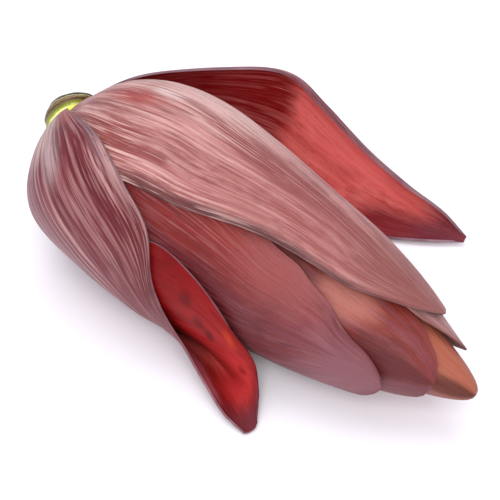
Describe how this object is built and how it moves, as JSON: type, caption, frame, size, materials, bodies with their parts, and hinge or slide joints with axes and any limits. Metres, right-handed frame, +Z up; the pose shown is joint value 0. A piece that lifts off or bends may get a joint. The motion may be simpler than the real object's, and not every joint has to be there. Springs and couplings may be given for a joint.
{
  "type": "banana blossom",
  "caption": "Banana blossom lying on its side: a closed purple-red bud wrapped in bracts, loose outer bracts standing open, cut stalk behind.",
  "frame": {"origin": "centre of the bounding box's bottom face, on the surface that the blossom lies on", "axes": "+X along the bud towards its tip, with the cut stalk at -X; +Z up, away from the surface that it lies on"},
  "size_m": [0.2714, 0.1798, 0.1065],
  "materials": {
    "stalk_green": "waxy, ringed with dry brown scars",
    "bract_tip": "smooth, satin",
    "bract_dusty": "ribbed, dusted with pale wax",
    "bract_mauve": "finely ribbed, satin",
    "bract_loose": "ribbed mauve outside, smooth crimson inside"
  },
  "bodies": {
    "root": {"stalk": "stalk_green", "heart": "bract_tip", "tip_bract_front": "bract_tip", "tip_bract_back": "bract_dusty", "front_bract": "bract_mauve", "top_bract": "bract_dusty", "loose_bract_front": "bract_loose", "loose_bract_back": "bract_loose"}
  },
  "joints": []
}
